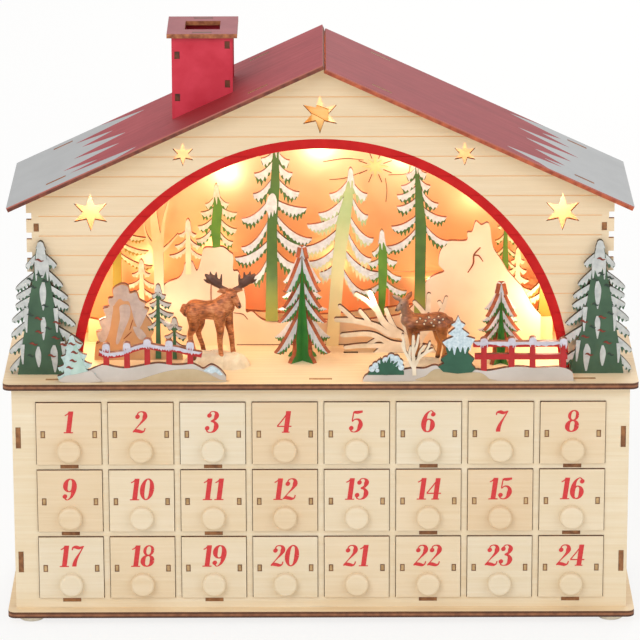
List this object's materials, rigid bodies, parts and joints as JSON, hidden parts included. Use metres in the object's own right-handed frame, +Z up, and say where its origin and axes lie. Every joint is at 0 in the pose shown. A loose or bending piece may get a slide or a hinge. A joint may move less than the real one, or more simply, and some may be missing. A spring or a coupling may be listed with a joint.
{
  "type": "wooden advent calendar",
  "caption": "House-shaped plywood advent calendar with numbered pull-out drawers below a lit snowy forest scene under a gabled roof with a chimney.",
  "frame": {"origin": "on the ground under the middle of the base plate", "axes": "+X to the right seen from the front, +Y to the back, +Z up"},
  "size_m": [0.4, 0.12, 0.377],
  "materials": {
    "birch_plywood": "bare birch plywood with scorched cut edges",
    "drawer_birch": "bare birch plywood, printed numeral",
    "roof_paint": "matte red paint on plywood",
    "chimney_paint": "matte red paint on plywood",
    "conifer_paint": "matte green and snow paint on plywood",
    "fir_paint": "matte green and snow paint on plywood",
    "snow_paint": "matte snow paint on plywood",
    "forest_paint": "painted plywood",
    "deer_resin": "hand painted cast resin",
    "foot_pad": "milky silicone",
    "strip_plastic": "white strip",
    "bulb_lens": "clear warm lens",
    "case_plastic": "white moulded plastic",
    "cell_sleeve": "plain sleeve"
  },
  "bodies": {
    "calendar": {"base_plate": "birch_plywood", "battery_box": "case_plastic", "battery_cells": "cell_sleeve", "box_back": "birch_plywood", "box_front": "birch_plywood", "box_left": "birch_plywood", "box_right": "birch_plywood", "branch_bush": "snow_paint", "centre_tree": "fir_paint", "chimney_back": "chimney_paint", "chimney_cap": "roof_paint", "chimney_front": "chimney_paint", "chimney_sides": "chimney_paint", "deck_plate": "birch_plywood", "distant_forest": "forest_paint", "doe": "deer_resin", "drawer_dividers": "birch_plywood", "drawer_shelves": "birch_plywood", "feet": "foot_pad", "forest_panel": "forest_paint", "house_back": "birch_plywood", "house_front": "birch_plywood", "house_sides": "birch_plywood", "led_bulbs": "bulb_lens", "led_strip": "strip_plastic", "left_conifer": "conifer_paint", "left_fence": "snow_paint", "right_conifer": "conifer_paint", "right_fence": "snow_paint", "right_tree": "fir_paint", "rock_board": "snow_paint", "roof_left": "roof_paint", "roof_right": "roof_paint", "stag": "deer_resin"},
    "drawer_01": {"drawer_01": "drawer_birch"},
    "drawer_02": {"drawer_02": "drawer_birch"},
    "drawer_03": {"drawer_03": "drawer_birch"},
    "drawer_04": {"drawer_04": "drawer_birch"},
    "drawer_05": {"drawer_05": "drawer_birch"},
    "drawer_06": {"drawer_06": "drawer_birch"},
    "drawer_07": {"drawer_07": "drawer_birch"},
    "drawer_08": {"drawer_08": "drawer_birch"},
    "drawer_09": {"drawer_09": "drawer_birch"},
    "drawer_10": {"drawer_10": "drawer_birch"},
    "drawer_11": {"drawer_11": "drawer_birch"},
    "drawer_12": {"drawer_12": "drawer_birch"},
    "drawer_13": {"drawer_13": "drawer_birch"},
    "drawer_14": {"drawer_14": "drawer_birch"},
    "drawer_15": {"drawer_15": "drawer_birch"},
    "drawer_16": {"drawer_16": "drawer_birch"},
    "drawer_17": {"drawer_17": "drawer_birch"},
    "drawer_18": {"drawer_18": "drawer_birch"},
    "drawer_19": {"drawer_19": "drawer_birch"},
    "drawer_20": {"drawer_20": "drawer_birch"},
    "drawer_21": {"drawer_21": "drawer_birch"},
    "drawer_22": {"drawer_22": "drawer_birch"},
    "drawer_23": {"drawer_23": "drawer_birch"},
    "drawer_24": {"drawer_24": "drawer_birch"},
    "battery_cover": {"battery_cover": "case_plastic"},
    "switch_knob": {"switch_knob": "case_plastic"}
  },
  "joints": [
    {"name": "drawer_01_slide", "type": "slide", "parent": "calendar", "child": "drawer_01", "axis": [0, -1, 0], "range_m": [0, 0.085]},
    {"name": "drawer_02_slide", "type": "slide", "parent": "calendar", "child": "drawer_02", "axis": [0, -1, 0], "range_m": [0, 0.085]},
    {"name": "drawer_03_slide", "type": "slide", "parent": "calendar", "child": "drawer_03", "axis": [0, -1, 0], "range_m": [0, 0.085]},
    {"name": "drawer_04_slide", "type": "slide", "parent": "calendar", "child": "drawer_04", "axis": [0, -1, 0], "range_m": [0, 0.085]},
    {"name": "drawer_05_slide", "type": "slide", "parent": "calendar", "child": "drawer_05", "axis": [0, -1, 0], "range_m": [0, 0.085]},
    {"name": "drawer_06_slide", "type": "slide", "parent": "calendar", "child": "drawer_06", "axis": [0, -1, 0], "range_m": [0, 0.085]},
    {"name": "drawer_07_slide", "type": "slide", "parent": "calendar", "child": "drawer_07", "axis": [0, -1, 0], "range_m": [0, 0.085]},
    {"name": "drawer_08_slide", "type": "slide", "parent": "calendar", "child": "drawer_08", "axis": [0, -1, 0], "range_m": [0, 0.085]},
    {"name": "drawer_09_slide", "type": "slide", "parent": "calendar", "child": "drawer_09", "axis": [0, -1, 0], "range_m": [0, 0.085]},
    {"name": "drawer_10_slide", "type": "slide", "parent": "calendar", "child": "drawer_10", "axis": [0, -1, 0], "range_m": [0, 0.085]},
    {"name": "drawer_11_slide", "type": "slide", "parent": "calendar", "child": "drawer_11", "axis": [0, -1, 0], "range_m": [0, 0.085]},
    {"name": "drawer_12_slide", "type": "slide", "parent": "calendar", "child": "drawer_12", "axis": [0, -1, 0], "range_m": [0, 0.085]},
    {"name": "drawer_13_slide", "type": "slide", "parent": "calendar", "child": "drawer_13", "axis": [0, -1, 0], "range_m": [0, 0.085]},
    {"name": "drawer_14_slide", "type": "slide", "parent": "calendar", "child": "drawer_14", "axis": [0, -1, 0], "range_m": [0, 0.085]},
    {"name": "drawer_15_slide", "type": "slide", "parent": "calendar", "child": "drawer_15", "axis": [0, -1, 0], "range_m": [0, 0.085]},
    {"name": "drawer_16_slide", "type": "slide", "parent": "calendar", "child": "drawer_16", "axis": [0, -1, 0], "range_m": [0, 0.085]},
    {"name": "drawer_17_slide", "type": "slide", "parent": "calendar", "child": "drawer_17", "axis": [0, -1, 0], "range_m": [0, 0.085]},
    {"name": "drawer_18_slide", "type": "slide", "parent": "calendar", "child": "drawer_18", "axis": [0, -1, 0], "range_m": [0, 0.085]},
    {"name": "drawer_19_slide", "type": "slide", "parent": "calendar", "child": "drawer_19", "axis": [0, -1, 0], "range_m": [0, 0.085]},
    {"name": "drawer_20_slide", "type": "slide", "parent": "calendar", "child": "drawer_20", "axis": [0, -1, 0], "range_m": [0, 0.085]},
    {"name": "drawer_21_slide", "type": "slide", "parent": "calendar", "child": "drawer_21", "axis": [0, -1, 0], "range_m": [0, 0.085]},
    {"name": "drawer_22_slide", "type": "slide", "parent": "calendar", "child": "drawer_22", "axis": [0, -1, 0], "range_m": [0, 0.085]},
    {"name": "drawer_23_slide", "type": "slide", "parent": "calendar", "child": "drawer_23", "axis": [0, -1, 0], "range_m": [0, 0.085]},
    {"name": "drawer_24_slide", "type": "slide", "parent": "calendar", "child": "drawer_24", "axis": [0, -1, 0], "range_m": [0, 0.085]},
    {"name": "battery_cover_slide", "type": "slide", "parent": "calendar", "child": "battery_cover", "axis": [-1, 0, 0], "range_m": [0, 0.05]},
    {"name": "switch_slide", "type": "slide", "parent": "calendar", "child": "switch_knob", "axis": [0, 0, 1], "range_m": [0, 0.004]}
  ]
}
